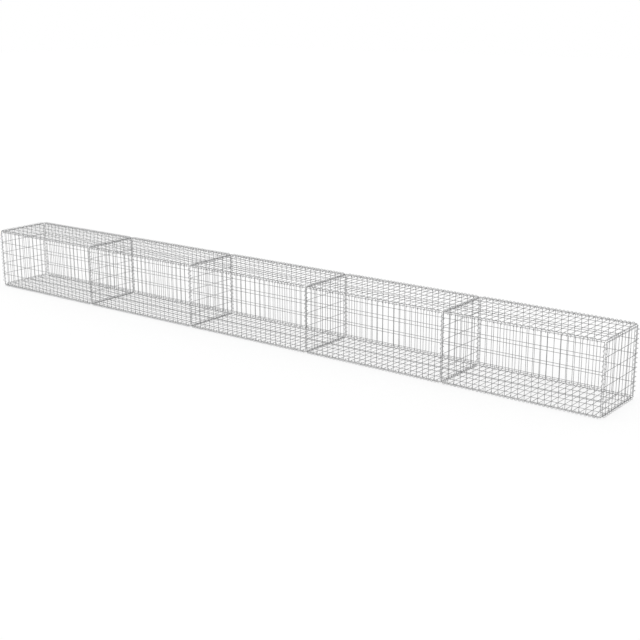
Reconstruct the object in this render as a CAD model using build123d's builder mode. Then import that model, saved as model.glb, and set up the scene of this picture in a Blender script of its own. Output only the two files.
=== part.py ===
"""Empty gabion wall: a row of welded-mesh bays, closed by lids and laced along every edge with coils.

X runs along the wall, -Y is the front and Z is up. The origin is the middle of the footprint, at the
ground that the lowest coils rest on.
"""

import os
from math import ceil, cos, floor, pi, radians, sin, sqrt

from build123d import *

os.makedirs("parts", exist_ok=True)

# The wall, measured between the axes of the coils at its edges
bay_count = 5
bay_length = 1200.0
wall_height = 505.0
wall_depth = 505.0

# Welded mesh: close wires on the inside, wide-spaced wires welded on the outside of them
mesh_diameter = 3.4
close_mesh = 50.0
wide_mesh = 100.0
close_per_wide = 2

# Binding coils: each turn bent from straight runs
coil_diameter = 3.4
coil_radius = 12.5
coil_clearance = 0.3
coil_end_gap = 18.0
runs_per_turn = 6
first_bend_angle = 45
long_turns_share = 5 / 3
short_turns_per_wide = 3
right_hand = 1
left_hand = -1

# Where a coil's first bend lies from the outermost wire it passes, as a share of its pitch
front_phase_share = 1 / 4
back_phase_share = -1 / 12
upright_phase_share = 0.3825
partition_phase_share = 1 / 32
end_phase_share = 3 / 16

# Square bars stand for the round wires, with the same cross-section
bar_share = sqrt(pi) / 2
mesh_wire = mesh_diameter * bar_share
coil_wire = coil_diameter * bar_share

# Room inside a coil. The close wires lie outside its axis, level with the middle of the runs that pass them
half_run_angle = 180 / runs_per_turn
run_tilt = radians(first_bend_angle - half_run_angle)
flat_radius = coil_radius * cos(radians(half_run_angle))
free_radius = flat_radius - coil_wire / sqrt(2) - coil_clearance
mesh_offset = flat_radius * sin(run_tilt)
outer_face = mesh_offset + mesh_wire * 3 / 2

# How far the edge wires stay back from a coil's axis to lie against its turns
wide_setback = (free_radius - outer_face * cos(run_tilt)) / sin(run_tilt) - mesh_wire / 2
close_setback = free_radius * sqrt(2) - mesh_wire - mesh_offset

# Mesh panels between their outermost wires
long_span = bay_length - 2 * close_setback
depth_close_span = wall_depth - 2 * close_setback
depth_wide_span = wall_depth - 2 * wide_setback
height_wide_span = wall_height - 2 * wide_setback
long_cells = round(bay_length / close_mesh)
depth_cells = round(wall_depth / wide_mesh)
height_cells = round(wall_height / wide_mesh)
long_cell = long_span / long_cells
depth_cell = depth_wide_span / depth_cells
height_cell = height_wide_span / height_cells


def spread(span, cells):
    """Places of the wires that divide a span into equal cells."""
    return [span * (i / cells - 1 / 2) for i in range(cells + 1)]


def mesh_panel(wide_length, close_length, close_places, wide_places):
    """A panel lying flat: close wires along Y in its plane, wide wires along X welded on top of them."""
    with BuildPart() as panel:
        with BuildSketch(Plane.XY.offset(-mesh_wire / 2)):
            with Locations(*[(place, 0) for place in close_places]):
                Rectangle(mesh_wire, close_length + mesh_wire)
        extrude(amount=mesh_wire)
        with BuildSketch(Plane.XY.offset(mesh_wire / 2)):
            with Locations(*[(0, place) for place in wide_places]):
                Rectangle(wide_length + mesh_wire, mesh_wire)
        extrude(amount=mesh_wire)
    return panel.part


def binding_coil(length, pitch, phase, hand):
    """A coil along Z that keeps clear of both ends of an edge and passes between its mesh wires."""
    run_rise = pitch / runs_per_turn
    first = ceil((coil_end_gap - phase) / run_rise)
    last = floor((length - coil_end_gap - phase) / run_rise)
    bends = []
    for i in range(first, last + 1):
        angle = radians(first_bend_angle + 2 * half_run_angle * i)
        bends.append((coil_radius * cos(angle), hand * coil_radius * sin(angle), phase + run_rise * i))
    with BuildPart() as coil:
        with BuildLine() as path:
            Polyline(*bends)
        with BuildSketch(Plane(origin=path.line @ 0, z_dir=path.line % 0)):
            Rectangle(coil_wire, coil_wire)
        sweep(transition=Transition.RIGHT)
    return coil.part


def place(shape, planes, name):
    """Set one or more copies of a piece on their planes and write them as one node."""
    with BuildPart() as piece:
        with Locations(*planes):
            add(shape)
    piece.part.label = name
    export_step(piece.part, f"parts/{name}.step", write_pcurves=False)


# The wall panel, the lid panel, the end panel and the partition, whose upright wires are wide-spaced too
long_places = spread(long_span, long_cells)
depth_places = spread(depth_wide_span, depth_cells)
height_places = spread(height_wide_span, height_cells)
end_inner_places = spread(depth_wide_span, depth_cells * close_per_wide)[1:-1]
end_places = [-depth_close_span / 2, *end_inner_places, depth_close_span / 2]
partition_places = [-depth_close_span / 2, *depth_places[1:-1], depth_close_span / 2]
wall_mesh = mesh_panel(long_span, height_wide_span, long_places, height_places)
lid_mesh = mesh_panel(long_span, depth_wide_span, long_places, depth_places)
end_mesh = mesh_panel(depth_close_span, height_wide_span, end_places, height_places)
partition_mesh = mesh_panel(depth_close_span, height_wide_span, partition_places, height_places)

# One coil for each kind of edge
long_pitch = long_cell / long_turns_share
upright_pitch = height_cell / short_turns_per_wide
cross_pitch = depth_cell / short_turns_per_wide
front_phase = close_setback + front_phase_share * long_pitch
back_phase = close_setback + back_phase_share * long_pitch
front_base_coil = binding_coil(bay_length, long_pitch, front_phase, right_hand)
front_lid_coil = binding_coil(bay_length, long_pitch, front_phase, left_hand)
back_base_coil = binding_coil(bay_length, long_pitch, back_phase, right_hand)
back_lid_coil = binding_coil(bay_length, long_pitch, back_phase, left_hand)
upright_phase = wide_setback + upright_phase_share * upright_pitch
upright_coil = binding_coil(wall_height, upright_pitch, upright_phase, left_hand)
partition_phase = wide_setback + partition_phase_share * cross_pitch
partition_coil = binding_coil(wall_depth, cross_pitch, partition_phase, right_hand)
end_phase = wide_setback + end_phase_share * cross_pitch
end_coil = binding_coil(wall_depth, cross_pitch, end_phase, right_hand)

# Levels and bay lines: the lowest coils touch the ground
front_box = front_base_coil.bounding_box()
back_box = back_base_coil.bounding_box()
partition_box = partition_coil.bounding_box()
end_box = end_coil.bounding_box()
base_level = max(-front_box.min.X, back_box.max.Y, -partition_box.min.Y, -end_box.min.Y)
lid_level = base_level + wall_height
middle_level = base_level + wall_height / 2
front = -wall_depth / 2
back = wall_depth / 2
mesh_front = front - mesh_offset
mesh_back = back + mesh_offset
mesh_base = base_level - mesh_offset
mesh_lid = lid_level + mesh_offset
bay_lines = spread(bay_length * bay_count, bay_count)
bay_middles = [line + bay_length / 2 for line in bay_lines[:-1]]

X, Y, Z = (1, 0, 0), (0, 1, 0), (0, 0, 1)
minus_x, minus_y, minus_z = (-1, 0, 0), (0, -1, 0), (0, 0, -1)

# Four mesh panels to each bay
for bay, middle in enumerate(bay_middles, start=1):
    place(wall_mesh, [Plane((middle, mesh_front, middle_level), X, minus_y)], f"front_panel_{bay}")
    place(wall_mesh, [Plane((middle, mesh_back, middle_level), minus_x, Y)], f"back_panel_{bay}")
    place(lid_mesh, [Plane((middle, 0, mesh_base), X, minus_z)], f"base_panel_{bay}")
    place(lid_mesh, [Plane((middle, 0, mesh_lid), X, Z)], f"lid_{bay}")

# Square panels at the ends, and between the bays with their welds on the bay line
mesh_left = bay_lines[0] - mesh_offset
mesh_right = bay_lines[-1] + mesh_offset
place(end_mesh, [Plane((mesh_left, 0, middle_level), minus_y, minus_x)], "end_panel_left")
for number, line in enumerate(bay_lines[1:-1], start=1):
    place(partition_mesh, [Plane((line - mesh_wire / 2, 0, middle_level), Y, X)], f"partition_{number}")
place(end_mesh, [Plane((mesh_right, 0, middle_level), Y, X)], "end_panel_right")

# Coils along the four long edges, one to each bay
bay_starts = bay_lines[:-1]
front_bottom = [Plane((line, front, base_level), Z, X) for line in bay_starts]
front_top = [Plane((line, front, lid_level), minus_z, X) for line in bay_starts]
back_bottom = [Plane((line, back, base_level), minus_y, X) for line in bay_starts]
back_top = [Plane((line, back, lid_level), minus_y, X) for line in bay_starts]
place(front_base_coil, front_bottom, "coils_front_bottom")
place(front_lid_coil, front_top, "coils_front_top")
place(back_base_coil, back_bottom, "coils_back_bottom")
place(back_lid_coil, back_top, "coils_back_top")

# Coils around each square panel: two uprights, then the lid edge and the base edge
for number, line in enumerate(bay_lines):
    at_left_end = number == 0
    name = f"coils_partition_{number}"
    cross_coil = partition_coil
    if at_left_end:
        name = "coils_end_left"
        cross_coil = end_coil
    elif number == bay_count:
        name = "coils_end_right"
        cross_coil = end_coil
    with BuildPart() as ring:
        with Locations(Plane((line, front, base_level), minus_x, Z), Plane((line, back, base_level), X, Z)):
            add(upright_coil)
        if at_left_end:
            lid_edge = Plane((line, back, lid_level), minus_x, minus_y)
            base_edge = Plane((line, front, base_level), minus_x, Y)
        else:
            lid_edge = Plane((line, front, lid_level), X, Y)
            base_edge = Plane((line, back, base_level), X, minus_y)
        with Locations(lid_edge, base_edge):
            add(cross_coil)
    ring.part.label = name
    export_step(ring.part, f"parts/{name}.step", write_pcurves=False)
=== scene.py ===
"""Empty gabion wall in galvanised wire: round mesh wires, weld beads and evenly wound binding coils.

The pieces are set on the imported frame, in metres. X runs along the wall, -Y is the front and Z is up.
"""

from math import atan2, ceil, cos, floor, pi, radians

import bpy
from mathutils import Matrix, Vector


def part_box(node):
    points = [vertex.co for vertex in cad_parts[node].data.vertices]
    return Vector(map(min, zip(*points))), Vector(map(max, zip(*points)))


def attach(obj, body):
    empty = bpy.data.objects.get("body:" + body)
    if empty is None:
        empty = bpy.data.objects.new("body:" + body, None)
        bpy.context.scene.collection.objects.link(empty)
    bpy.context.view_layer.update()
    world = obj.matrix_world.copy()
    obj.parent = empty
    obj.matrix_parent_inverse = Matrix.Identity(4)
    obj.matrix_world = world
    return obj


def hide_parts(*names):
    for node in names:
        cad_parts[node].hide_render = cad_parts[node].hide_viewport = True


bl_info = {
    "name": "Gabion Wall",
    "version": (1, 0, 0),
    "blender": (4, 5, 0),
    "location": "View3D > Sidebar > Gabion",
    "description": "Round galvanised wire, weld beads and binding coils on a packed gabion wall",
    "category": "Object",
}

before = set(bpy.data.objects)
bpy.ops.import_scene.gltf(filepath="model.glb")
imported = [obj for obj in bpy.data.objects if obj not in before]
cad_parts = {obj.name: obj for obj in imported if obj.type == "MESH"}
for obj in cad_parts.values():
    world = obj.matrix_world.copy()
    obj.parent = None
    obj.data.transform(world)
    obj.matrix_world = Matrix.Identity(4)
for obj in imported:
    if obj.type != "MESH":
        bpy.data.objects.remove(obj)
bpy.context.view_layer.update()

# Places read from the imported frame: the coils' axes, then the mesh that lies a little outside them
BAYS = sum(name.startswith("lid_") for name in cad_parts)


def middle_of(node):
    """The middle of a node's box."""
    low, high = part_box(node)
    return (low + high) / 2


front_axis = middle_of("coils_front_bottom")
back_axis = middle_of("coils_back_top")
FRONT, BASE = front_axis.y, front_axis.z
BACK, LID = back_axis.y, back_axis.z
MIDDLE = (BASE + LID) / 2
BAY_LENGTH = 2 * middle_of("coils_end_right").x / BAYS
LINES = [(number - BAYS / 2) * BAY_LENGTH for number in range(BAYS + 1)]
panel_low, panel_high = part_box("front_panel_1")
LAYER_STEP = (panel_high.y - panel_low.y) / 2
HALF_LAYER = LAYER_STEP / 2
MESH_OFFSET = FRONT - panel_high.y + HALF_LAYER
CLOSE_SETBACK = panel_low.x + HALF_LAYER - LINES[0]
WIDE_SETBACK = panel_low.z + HALF_LAYER - BASE

# Shares that tie the coils to the mesh, as on the frame's own coils
BENDS = 6
FIRST_BEND = 45
LONG_TURNS = 5 / 3
SHORT_TURNS = 3
FRONT_PHASE = 1 / 4
BACK_PHASE = -1 / 12
UPRIGHT_PHASE = 0.3825
PARTITION_PHASE = 1 / 32
END_PHASE = 3 / 16
END_GAP = 0.018
RIGHT_HAND, LEFT_HAND = 1, -1

# The mesh's nominal spacings, which give the number of cells
CLOSE_MESH = 0.05
WIDE_MESH = 0.1

# The wires' eased rims, as a share of their radius, and the angle up to which faces are shaded as one
RIM_SHARE = 1 / 4
SMOOTH_ANGLE = radians(50)

# Zinc: flakes and grains to the metre, and the depth of its unevenness
SPANGLE_DENSITY = 420
GRAIN_DENSITY = 1500
UNEVEN_DEPTH = 0.0003

# How dull the zinc is: from which level of the patches to which, and how far patches and flakes count
PATCH_FROM, PATCH_TO = 0.35, 0.7
PATCH_SHARE, FLAKE_SHARE = 0.7, 0.3
CLEAN_ROUGHNESS, DULL_ROUGHNESS = 0.34, 0.58

# A mix node's sockets for colours, which share their names with other sockets
MIX_FIRST, MIX_SECOND, MIX_RESULT = 6, 7, 2

# The stage: a white floor with a faint shadow, an even sky and a soft key light from the front left
FLOOR_SIZE = 80
FLOOR_GREY = 0.3
FLOOR_LIFT = 0.72
SKY_LIGHT = 0.95
KEY_LIGHT = 0.12
KEY_SPREAD = radians(50)
KEY_TILT = radians(66)
KEY_TURN = radians(-35)

# The photograph's viewpoint, its height measured from the base coils' axes
VIEW_X, VIEW_Y, VIEW_HEIGHT = 5.8895, -6.9599, 2.622
VIEW_ELEVATION = radians(15.283)
VIEW_AZIMUTH = radians(37.3742)
VIEW_ROLL = radians(-0.1581)
VIEW_REACH = 200
LENS = 66.0556
LENS_SHIFT_X, LENS_SHIFT_Y = -0.0058, -0.0079
SENSOR = 36

WHITE = (1, 1, 1, 1)
RIGHT, INWARD, UP = Vector((1, 0, 0)), Vector((0, 1, 0)), Vector((0, 0, 1))


class GabionSizes(bpy.types.PropertyGroup):
    """Sizes of the wire, the mesh and the coils."""

    mesh_wire: bpy.props.FloatProperty(
        name="Mesh wire",
        description="Diameter of the mesh wires",
        default=0.0034,
        unit="LENGTH",
    )
    coil_wire: bpy.props.FloatProperty(
        name="Coil wire",
        description="Diameter of the binding coils' wire",
        default=0.0034,
        unit="LENGTH",
    )
    coil_radius: bpy.props.FloatProperty(
        name="Coil radius",
        description="From a coil's axis to the middle of its wire",
        default=0.0125,
        unit="LENGTH",
    )
    weld_width: bpy.props.FloatProperty(
        name="Weld width",
        description="Width of the bead where two wires are welded",
        default=0.0046,
        unit="LENGTH",
    )
    weld_height: bpy.props.FloatProperty(
        name="Weld height",
        description="Height of that bead across the panel",
        default=0.0026,
        unit="LENGTH",
    )
    close_cells: bpy.props.IntProperty(
        name="Close cells",
        description="Cells along a bay",
        default=round(BAY_LENGTH / CLOSE_MESH),
    )
    wide_cells: bpy.props.IntProperty(
        name="Wide cells",
        description="Cells up a panel",
        default=round((LID - BASE) / WIDE_MESH),
    )
    wire_sides: bpy.props.IntProperty(
        name="Wire sides",
        description="Sides of a wire's section",
        default=8,
        min=6,
    )
    coil_steps: bpy.props.IntProperty(
        name="Coil steps",
        description="Steps in one turn of a coil",
        default=16,
        min=8,
    )


class GabionFinish(bpy.types.PropertyGroup):
    """Colours of the galvanised wire."""

    zinc: bpy.props.FloatVectorProperty(
        name="Zinc",
        description="Clean zinc on the wires",
        subtype="COLOR",
        default=(0.354, 0.355, 0.358),
        min=0,
        max=1,
    )
    dull_zinc: bpy.props.FloatVectorProperty(
        name="Dull zinc",
        description="Zinc that has dulled",
        subtype="COLOR",
        default=(0.253, 0.254, 0.256),
        min=0,
        max=1,
    )
    coil_zinc: bpy.props.FloatVectorProperty(
        name="Coil zinc",
        description="Zinc on the coils",
        subtype="COLOR",
        default=(0.67, 0.671, 0.675),
        min=0,
        max=1,
    )
    coil_dull: bpy.props.FloatVectorProperty(
        name="Dull coil zinc",
        description="Zinc on the coils that has dulled",
        subtype="COLOR",
        default=(0.42, 0.421, 0.425),
        min=0,
        max=1,
    )
    weld_zinc: bpy.props.FloatVectorProperty(
        name="Weld zinc",
        description="Zinc over the welds",
        subtype="COLOR",
        default=(0.24, 0.241, 0.244),
        min=0,
        max=1,
    )


def pick_only(piece):
    """Select one object and make it active."""
    bpy.ops.object.select_all(action="DESELECT")
    piece.select_set(True)
    bpy.context.view_layer.objects.active = piece


def settle(piece):
    """Put an object's place, turn and scale into its mesh."""
    pick_only(piece)
    bpy.ops.object.transform_apply(location=True, rotation=True, scale=True)


def join(pieces):
    """Make one object of several, and return it."""
    bpy.ops.object.select_all(action="DESELECT")
    for piece in pieces:
        piece.select_set(True)
    bpy.context.view_layer.objects.active = pieces[0]
    bpy.ops.object.join()
    return pieces[0]


def repeat(piece, count, step):
    """Repeat a piece in a row, a step apart."""
    pick_only(piece)
    row = piece.modifiers.new("Row", "ARRAY")
    row.use_relative_offset = False
    row.use_constant_offset = True
    row.constant_offset_displace = step
    row.count = count
    bpy.ops.object.modifier_apply(modifier=row.name)
    return piece


def turned(x_direction, z_direction):
    """The turn that lays a piece's X and Z along two directions."""
    y_direction = z_direction.cross(x_direction)
    return Matrix((x_direction, y_direction, z_direction)).transposed().to_4x4()


def copy_to(model, name, place, x_direction, z_direction):
    """Copy a model with its own mesh, and set the copy in its place."""
    piece = model.copy()
    piece.data = model.data.copy()
    piece.name = name
    piece.data.name = name
    bpy.context.scene.collection.objects.link(piece)
    piece.matrix_world = Matrix.Translation(place) @ turned(x_direction, z_direction)
    settle(piece)
    return piece


def dress(piece, node):
    """Let a finished piece stand for its node on the frame."""
    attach(piece, "root")
    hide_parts(node)


def drop(*models):
    """Take away models that have been copied."""
    for model in models:
        bpy.data.meshes.remove(model.data)


def wire(sizes, length, turn, place):
    """One straight mesh wire with the rims of its cut ends eased."""
    bpy.ops.object.select_all(action="DESELECT")
    sides = sizes.wire_sides
    radius = sizes.mesh_wire / (1 + cos(pi / sides))
    bpy.ops.mesh.primitive_cylinder_add(
        vertices=sides, radius=radius, depth=length, end_fill_type="NGON", location=place, rotation=turn
    )
    piece = bpy.context.object
    settle(piece)
    bpy.ops.object.mode_set(mode="EDIT")
    bpy.ops.mesh.select_mode(type="FACE")
    bpy.ops.mesh.select_all(action="DESELECT")
    bpy.ops.object.mode_set(mode="OBJECT")
    for face in piece.data.polygons:
        face.select = len(face.vertices) == sides
    bpy.ops.object.mode_set(mode="EDIT")
    bpy.ops.mesh.bevel(offset=radius * RIM_SHARE, segments=1)
    bpy.ops.object.mode_set(mode="OBJECT")
    piece.data.materials.append(bpy.data.materials["galvanised_mesh"])
    return piece


def weld_bead(sizes, place):
    """The flattened bead of zinc and steel between two crossing wires."""
    bpy.ops.object.select_all(action="DESELECT")
    bpy.ops.mesh.primitive_ico_sphere_add(subdivisions=1, radius=sizes.weld_width / 2, location=place)
    piece = bpy.context.object
    bpy.ops.object.mode_set(mode="EDIT")
    bpy.ops.mesh.select_all(action="SELECT")
    bpy.ops.transform.resize(value=(1, 1, sizes.weld_height / sizes.weld_width), center_override=place)
    bpy.ops.object.mode_set(mode="OBJECT")
    settle(piece)
    piece.data.materials.append(bpy.data.materials["zinc_over_weld"])
    return piece


def mesh_panel(sizes, wide_length, close_length, close_rows):
    """A panel lying flat: close wires along Y, wide wires along X on top, and a bead at every crossing.

    close_rows lists rows of close wires as first place, count and step."""
    wide_step = close_length / sizes.wide_cells
    first_wide = -close_length / 2
    parts = []
    across = wire(sizes, wide_length + LAYER_STEP, (0, pi / 2, 0), (0, first_wide, LAYER_STEP))
    parts.append(repeat(across, sizes.wide_cells + 1, (0, wide_step, 0)))
    for first, count, step in close_rows:
        upright = wire(sizes, close_length + LAYER_STEP, (pi / 2, 0, 0), (first, 0, 0))
        parts.append(repeat(upright, count, (step, 0, 0)))
        bead = weld_bead(sizes, (first, first_wide, HALF_LAYER))
        repeat(bead, count, (step, 0, 0))
        parts.append(repeat(bead, sizes.wide_cells + 1, (0, wide_step, 0)))
    panel = join(parts)
    bpy.ops.object.shade_smooth_by_angle(angle=SMOOTH_ANGLE)
    return panel


def binding_coil(sizes, length, pitch, phase, hand):
    """A coil along Z, screwed from the section of its wire."""
    run = pitch / BENDS
    first = ceil((END_GAP - phase) / run)
    last = floor((length - END_GAP - phase) / run)
    turns = (last - first) / BENDS
    slope = atan2(pitch, 2 * pi * sizes.coil_radius)
    sides = sizes.wire_sides
    bpy.ops.object.select_all(action="DESELECT")
    bpy.ops.mesh.primitive_circle_add(
        vertices=sides,
        radius=sizes.coil_wire / (1 + cos(pi / sides)),
        location=(sizes.coil_radius, 0, 0),
        rotation=(hand * slope - pi / 2, 0, 0),
    )
    coil = bpy.context.object
    settle(coil)
    winding = coil.modifiers.new("Winding", "SCREW")
    winding.axis = "Z"
    winding.angle = hand * 2 * pi * turns
    winding.screw_offset = pitch * turns
    winding.iterations = 1
    winding.steps = winding.render_steps = round(sizes.coil_steps * turns)
    bpy.ops.object.modifier_apply(modifier=winding.name)
    bpy.ops.object.mode_set(mode="EDIT")
    bpy.ops.mesh.select_all(action="SELECT")
    bpy.ops.mesh.fill_holes(sides=sides)
    bpy.ops.mesh.select_all(action="SELECT")
    bpy.ops.mesh.normals_make_consistent(inside=False)
    bpy.ops.object.mode_set(mode="OBJECT")
    coil.rotation_euler.z = hand * (radians(FIRST_BEND) + 2 * pi * first / BENDS)
    coil.location.z = phase + run * first
    settle(coil)
    bpy.ops.object.shade_smooth_by_angle(angle=SMOOTH_ANGLE)
    coil.data.materials.append(bpy.data.materials["galvanised_coil"])
    return coil


def link(tree, start, end):
    """Join an output to an input in a node tree."""
    tree.links.new(start, end)


def zinc_mottle_group():
    """Dull patches, fine spangle and a slight unevenness that all the wire shares."""
    group = bpy.data.node_groups.new("zinc_mottle", "ShaderNodeTree")
    faces = group.interface
    faces.new_socket("Clean", in_out="INPUT", socket_type="NodeSocketColor")
    faces.new_socket("Dull", in_out="INPUT", socket_type="NodeSocketColor")
    faces.new_socket("Patch size", in_out="INPUT", socket_type="NodeSocketFloat")
    faces.new_socket("Colour", in_out="OUTPUT", socket_type="NodeSocketColor")
    faces.new_socket("Roughness", in_out="OUTPUT", socket_type="NodeSocketFloat")
    faces.new_socket("Unevenness", in_out="OUTPUT", socket_type="NodeSocketFloat")
    nodes = group.nodes
    entry = nodes.new("NodeGroupInput")
    leave = nodes.new("NodeGroupOutput")
    place = nodes.new("ShaderNodeTexCoord")
    density = nodes.new("ShaderNodeMath")
    density.operation = "DIVIDE"
    density.inputs[0].default_value = 1
    link(group, entry.outputs["Patch size"], density.inputs[1])
    patches = nodes.new("ShaderNodeTexNoise")
    patches.inputs["Detail"].default_value = 3
    link(group, place.outputs["Object"], patches.inputs["Vector"])
    link(group, density.outputs[0], patches.inputs["Scale"])
    spangle = nodes.new("ShaderNodeTexVoronoi")
    spangle.inputs["Scale"].default_value = SPANGLE_DENSITY
    link(group, place.outputs["Object"], spangle.inputs["Vector"])
    grain = nodes.new("ShaderNodeTexNoise")
    grain.inputs["Scale"].default_value = GRAIN_DENSITY
    grain.inputs["Detail"].default_value = 2
    link(group, place.outputs["Object"], grain.inputs["Vector"])
    flakes = nodes.new("ShaderNodeSeparateColor")
    link(group, spangle.outputs["Color"], flakes.inputs["Color"])
    worn = nodes.new("ShaderNodeMapRange")
    worn.inputs["From Min"].default_value = PATCH_FROM
    worn.inputs["From Max"].default_value = PATCH_TO
    link(group, patches.outputs["Fac"], worn.inputs["Value"])
    both = nodes.new("ShaderNodeMath")
    both.operation = "MULTIPLY_ADD"
    both.use_clamp = True
    both.inputs[1].default_value = FLAKE_SHARE
    link(group, flakes.outputs["Red"], both.inputs[0])
    share = nodes.new("ShaderNodeMath")
    share.operation = "MULTIPLY"
    share.inputs[1].default_value = PATCH_SHARE
    link(group, worn.outputs["Result"], share.inputs[0])
    link(group, share.outputs[0], both.inputs[2])
    tint = nodes.new("ShaderNodeMix")
    tint.data_type = "RGBA"
    link(group, both.outputs[0], tint.inputs["Factor"])
    link(group, entry.outputs["Clean"], tint.inputs[MIX_FIRST])
    link(group, entry.outputs["Dull"], tint.inputs[MIX_SECOND])
    sheen = nodes.new("ShaderNodeMapRange")
    sheen.inputs["To Min"].default_value = CLEAN_ROUGHNESS
    sheen.inputs["To Max"].default_value = DULL_ROUGHNESS
    link(group, both.outputs[0], sheen.inputs["Value"])
    uneven = nodes.new("ShaderNodeMath")
    uneven.operation = "ADD"
    link(group, patches.outputs["Fac"], uneven.inputs[0])
    link(group, grain.outputs["Fac"], uneven.inputs[1])
    link(group, tint.outputs[MIX_RESULT], leave.inputs["Colour"])
    link(group, sheen.outputs["Result"], leave.inputs["Roughness"])
    link(group, uneven.outputs[0], leave.inputs["Unevenness"])
    return group


def zinc_material(name, mottle, clean, dull, patch_size, metallic, bump_strength):
    """Galvanised wire whose colour, gloss and surface follow the shared mottle."""
    material = bpy.data.materials.new(name)
    material.use_nodes = True
    tree = material.node_tree
    surface = tree.nodes["Principled BSDF"]
    surface.inputs["Metallic"].default_value = metallic
    look = tree.nodes.new("ShaderNodeGroup")
    look.node_tree = mottle
    look.inputs["Clean"].default_value = (*clean, 1)
    look.inputs["Dull"].default_value = (*dull, 1)
    look.inputs["Patch size"].default_value = patch_size
    bump = tree.nodes.new("ShaderNodeBump")
    bump.inputs["Strength"].default_value = bump_strength
    bump.inputs["Distance"].default_value = UNEVEN_DEPTH
    link(tree, look.outputs["Unevenness"], bump.inputs["Height"])
    link(tree, bump.outputs["Normal"], surface.inputs["Normal"])
    link(tree, look.outputs["Colour"], surface.inputs["Base Color"])
    link(tree, look.outputs["Roughness"], surface.inputs["Roughness"])


class GABION_OT_finish(bpy.types.Operator):
    """Mix the galvanised finishes of mesh, welds and coils"""

    bl_idname = "gabion.finish"
    bl_label = "Galvanised finish"

    def execute(self, context):
        finish = context.scene.gabion_finish
        mottle = zinc_mottle_group()
        zinc_material(
            "galvanised_mesh",
            mottle,
            clean=finish.zinc,
            dull=finish.dull_zinc,
            patch_size=0.045,
            metallic=1,
            bump_strength=0.35,
        )
        zinc_material(
            "zinc_over_weld",
            mottle,
            clean=finish.dull_zinc,
            dull=finish.weld_zinc,
            patch_size=0.006,
            metallic=0.9,
            bump_strength=0.8,
        )
        zinc_material(
            "galvanised_coil",
            mottle,
            clean=finish.coil_zinc,
            dull=finish.coil_dull,
            patch_size=0.03,
            metallic=1,
            bump_strength=0.3,
        )
        return {"FINISHED"}


class GABION_OT_long_panels(bpy.types.Operator):
    """Weld the front, back, base and lid panels of every bay"""

    bl_idname = "gabion.long_panels"
    bl_label = "Front, back, base and lid panels"

    def execute(self, context):
        sizes = context.scene.gabion_sizes
        long_span = BAY_LENGTH - 2 * CLOSE_SETBACK
        cross_span = BACK - FRONT - 2 * WIDE_SETBACK
        rows = [(-long_span / 2, sizes.close_cells + 1, long_span / sizes.close_cells)]
        model = mesh_panel(sizes, long_span, cross_span, rows)
        for bay in range(BAYS):
            number = bay + 1
            middle = (LINES[bay] + LINES[bay + 1]) / 2
            sides = [
                ("front", "front_panel", (middle, FRONT - MESH_OFFSET, MIDDLE), RIGHT, -INWARD),
                ("back", "back_panel", (middle, BACK + MESH_OFFSET, MIDDLE), -RIGHT, INWARD),
                ("base", "base_panel", (middle, 0, BASE - MESH_OFFSET), RIGHT, -UP),
                ("lid", "lid", (middle, 0, LID + MESH_OFFSET), RIGHT, UP),
            ]
            for side, node, place, x_direction, z_direction in sides:
                piece = copy_to(model, f"{side}_mesh_{number}", place, x_direction, z_direction)
                dress(piece, f"{node}_{number}")
        drop(model)
        return {"FINISHED"}


class GABION_OT_square_panels(bpy.types.Operator):
    """Weld the end panels and the partitions between the bays"""

    bl_idname = "gabion.square_panels"
    bl_label = "End panels and partitions"

    def execute(self, context):
        sizes = context.scene.gabion_sizes
        wide_span = BACK - FRONT - 2 * CLOSE_SETBACK
        close_span = LID - BASE - 2 * WIDE_SETBACK
        cell = (BACK - FRONT - 2 * WIDE_SETBACK) / sizes.wide_cells
        edge_rows = (-wide_span / 2, 2, wide_span)
        inner_rows = (cell * (1 - sizes.wide_cells / 2), sizes.wide_cells - 1, cell)
        close_rows = (cell * (1 - sizes.wide_cells) / 2, sizes.wide_cells, cell)
        end = mesh_panel(sizes, wide_span, close_span, [edge_rows, inner_rows, close_rows])
        partition = mesh_panel(sizes, wide_span, close_span, [edge_rows, inner_rows])
        left = copy_to(end, "end_mesh_left", (LINES[0] - MESH_OFFSET, 0, MIDDLE), -INWARD, -RIGHT)
        dress(left, "end_panel_left")
        for number in range(1, BAYS):
            place = (LINES[number] - HALF_LAYER, 0, MIDDLE)
            piece = copy_to(partition, f"partition_mesh_{number}", place, INWARD, RIGHT)
            dress(piece, f"partition_{number}")
        right = copy_to(end, "end_mesh_right", (LINES[-1] + MESH_OFFSET, 0, MIDDLE), INWARD, RIGHT)
        dress(right, "end_panel_right")
        drop(end, partition)
        return {"FINISHED"}


class GABION_OT_long_coils(bpy.types.Operator):
    """Wind the coils along the four long edges, one to each bay"""

    bl_idname = "gabion.long_coils"
    bl_label = "Coils along the long edges"

    def execute(self, context):
        sizes = context.scene.gabion_sizes
        pitch = (BAY_LENGTH - 2 * CLOSE_SETBACK) / sizes.close_cells / LONG_TURNS
        edges = [
            ("front_bottom", FRONT, BASE, UP, FRONT_PHASE, RIGHT_HAND),
            ("front_top", FRONT, LID, -UP, FRONT_PHASE, LEFT_HAND),
            ("back_bottom", BACK, BASE, -INWARD, BACK_PHASE, RIGHT_HAND),
            ("back_top", BACK, LID, -INWARD, BACK_PHASE, LEFT_HAND),
        ]
        for edge, depth, level, x_direction, share, hand in edges:
            model = binding_coil(sizes, BAY_LENGTH, pitch, CLOSE_SETBACK + share * pitch, hand)
            piece = copy_to(model, f"lacing_{edge}", (LINES[0], depth, level), x_direction, RIGHT)
            repeat(piece, BAYS, (BAY_LENGTH, 0, 0))
            dress(piece, f"coils_{edge}")
            drop(model)
        return {"FINISHED"}


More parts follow.
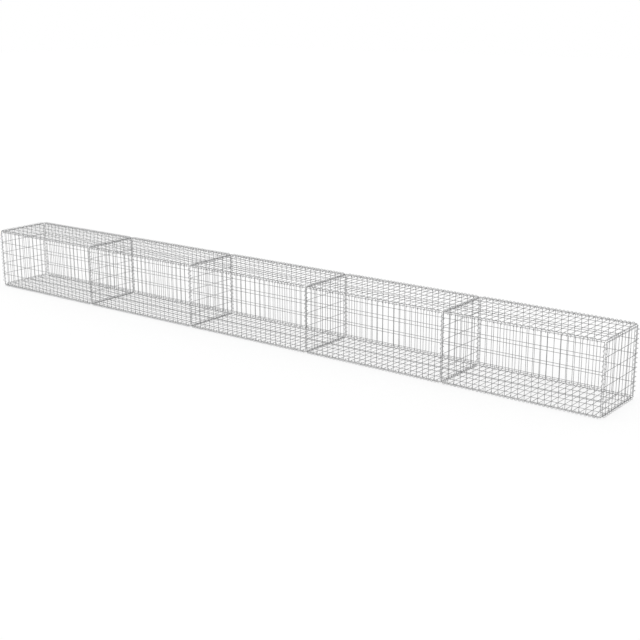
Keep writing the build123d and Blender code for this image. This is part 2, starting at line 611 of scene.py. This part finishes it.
class GABION_OT_ring_coils(bpy.types.Operator):
    """Wind the coils around the end panels and the partitions"""

    bl_idname = "gabion.ring_coils"
    bl_label = "Coils around the square panels"

    def execute(self, context):
        sizes = context.scene.gabion_sizes
        pitch = (BACK - FRONT - 2 * WIDE_SETBACK) / sizes.wide_cells / SHORT_TURNS
        depth_span = BACK - FRONT
        upright = binding_coil(sizes, LID - BASE, pitch, WIDE_SETBACK + UPRIGHT_PHASE * pitch, LEFT_HAND)
        inner = binding_coil(sizes, depth_span, pitch, WIDE_SETBACK + PARTITION_PHASE * pitch, RIGHT_HAND)
        outer = binding_coil(sizes, depth_span, pitch, WIDE_SETBACK + END_PHASE * pitch, RIGHT_HAND)
        for number, line in enumerate(LINES):
            name = f"partition_{number}"
            cross = inner
            lid_edge = (FRONT, LID, RIGHT, INWARD)
            base_edge = (BACK, BASE, RIGHT, -INWARD)
            if number == 0:
                name = "end_left"
                cross = outer
                lid_edge = (BACK, LID, -RIGHT, -INWARD)
                base_edge = (FRONT, BASE, -RIGHT, INWARD)
            elif number == BAYS:
                name = "end_right"
                cross = outer
            ring = [
                copy_to(upright, f"lacing_{name}", (line, FRONT, BASE), -RIGHT, UP),
                copy_to(upright, "back_upright", (line, BACK, BASE), RIGHT, UP),
            ]
            for depth, level, x_direction, z_direction in (lid_edge, base_edge):
                ring.append(copy_to(cross, "cross_coil", (line, depth, level), x_direction, z_direction))
            dress(join(ring), f"coils_{name}")
        drop(upright, inner, outer)
        return {"FINISHED"}


def shown_as_white(tree):
    """A mask of the rays that see the background: from the camera, in reflections and through glass."""
    path = tree.nodes.new("ShaderNodeLightPath")
    first = tree.nodes.new("ShaderNodeMath")
    first.operation = "MAXIMUM"
    link(tree, path.outputs["Is Camera Ray"], first.inputs[0])
    link(tree, path.outputs["Is Glossy Ray"], first.inputs[1])
    second = tree.nodes.new("ShaderNodeMath")
    second.operation = "MAXIMUM"
    link(tree, first.outputs[0], second.inputs[0])
    link(tree, path.outputs["Is Transmission Ray"], second.inputs[1])
    return second.outputs[0]


def white_floor():
    """A pale floor that shows as white and keeps the shadow."""
    material = bpy.data.materials.new("pale_floor")
    material.use_nodes = True
    tree = material.node_tree
    surface = tree.nodes["Principled BSDF"]
    surface.inputs["Base Color"].default_value = (FLOOR_GREY, FLOOR_GREY, FLOOR_GREY, 1)
    surface.inputs["Roughness"].default_value = 1
    surface.inputs["Specular IOR Level"].default_value = 0
    surface.inputs["Emission Color"].default_value = WHITE
    lift = tree.nodes.new("ShaderNodeMath")
    lift.operation = "MULTIPLY"
    lift.inputs[1].default_value = FLOOR_LIFT
    link(tree, shown_as_white(tree), lift.inputs[0])
    link(tree, lift.outputs[0], surface.inputs["Emission Strength"])
    return material


def white_world(scene):
    """White behind the wall, and a softer even light on it."""
    world = bpy.data.worlds.new("studio_white")
    scene.world = world
    world.use_nodes = True
    tree = world.node_tree
    soft = tree.nodes["Background"]
    soft.inputs["Color"].default_value = WHITE
    soft.inputs["Strength"].default_value = SKY_LIGHT
    white = tree.nodes.new("ShaderNodeBackground")
    white.inputs["Color"].default_value = WHITE
    white.inputs["Strength"].default_value = 1
    choose = tree.nodes.new("ShaderNodeMixShader")
    link(tree, shown_as_white(tree), choose.inputs["Fac"])
    link(tree, soft.outputs[0], choose.inputs[1])
    link(tree, white.outputs[0], choose.inputs[2])
    link(tree, choose.outputs[0], tree.nodes["World Output"].inputs["Surface"])


class GABION_OT_stage(bpy.types.Operator):
    """Set up the white floor, the soft light and the camera"""

    bl_idname = "gabion.stage"
    bl_label = "Stage"

    def execute(self, context):
        scene = context.scene
        scene.view_settings.view_transform = "Standard"

        bpy.ops.object.select_all(action="DESELECT")
        bpy.ops.mesh.primitive_plane_add(size=FLOOR_SIZE, location=(0, 0, 0))
        floor_piece = context.object
        floor_piece.name = "studio_floor"
        floor_piece.data.materials.append(white_floor())

        white_world(scene)

        bpy.ops.object.light_add(type="SUN", rotation=(KEY_TILT, 0, KEY_TURN))
        sun = context.object
        sun.name = "soft_key"
        sun.data.energy = KEY_LIGHT
        sun.data.angle = KEY_SPREAD

        turn = Matrix.Rotation(VIEW_AZIMUTH, 3, "Z") @ Matrix.Rotation(pi / 2 - VIEW_ELEVATION, 3, "X")
        turn = turn @ Matrix.Rotation(VIEW_ROLL, 3, "Z")
        location = (VIEW_X, VIEW_Y, VIEW_HEIGHT + BASE)
        bpy.ops.object.camera_add(location=location, rotation=turn.to_euler())
        camera = context.object
        camera.name = "photo_camera"
        camera.data.sensor_width = SENSOR
        camera.data.lens = LENS
        camera.data.shift_x = LENS_SHIFT_X
        camera.data.shift_y = LENS_SHIFT_Y
        camera.data.clip_end = VIEW_REACH
        scene.camera = camera
        return {"FINISHED"}


STEPS = [
    GABION_OT_finish,
    GABION_OT_long_panels,
    GABION_OT_square_panels,
    GABION_OT_long_coils,
    GABION_OT_ring_coils,
    GABION_OT_stage,
]


class GABION_PT_wall(bpy.types.Panel):
    """Lists the steps that dress the wall"""

    bl_idname = "GABION_PT_wall"
    bl_label = "Gabion wall"
    bl_space_type = "VIEW_3D"
    bl_region_type = "UI"
    bl_category = "Gabion"

    def draw(self, context):
        layout = self.layout
        for group in (context.scene.gabion_sizes, context.scene.gabion_finish):
            for name in group.bl_rna.properties.keys():
                if name not in ("rna_type", "name"):
                    layout.prop(group, name)
        for step in STEPS:
            layout.operator(step.bl_idname)


CLASSES = [GabionSizes, GabionFinish, *STEPS, GABION_PT_wall]


def register():
    """Make the wall's settings, steps and panel known."""
    for item in CLASSES:
        bpy.utils.register_class(item)
    bpy.types.Scene.gabion_sizes = bpy.props.PointerProperty(type=GabionSizes)
    bpy.types.Scene.gabion_finish = bpy.props.PointerProperty(type=GabionFinish)


def unregister():
    """Take them away again."""
    del bpy.types.Scene.gabion_finish
    del bpy.types.Scene.gabion_sizes
    for item in reversed(CLASSES):
        bpy.utils.unregister_class(item)


def main():
    """Dress the wall step by step."""
    register()
    bpy.ops.gabion.finish()
    bpy.ops.gabion.long_panels()
    bpy.ops.gabion.square_panels()
    bpy.ops.gabion.long_coils()
    bpy.ops.gabion.ring_coils()
    bpy.ops.gabion.stage()


if __name__ == "__main__":
    main()
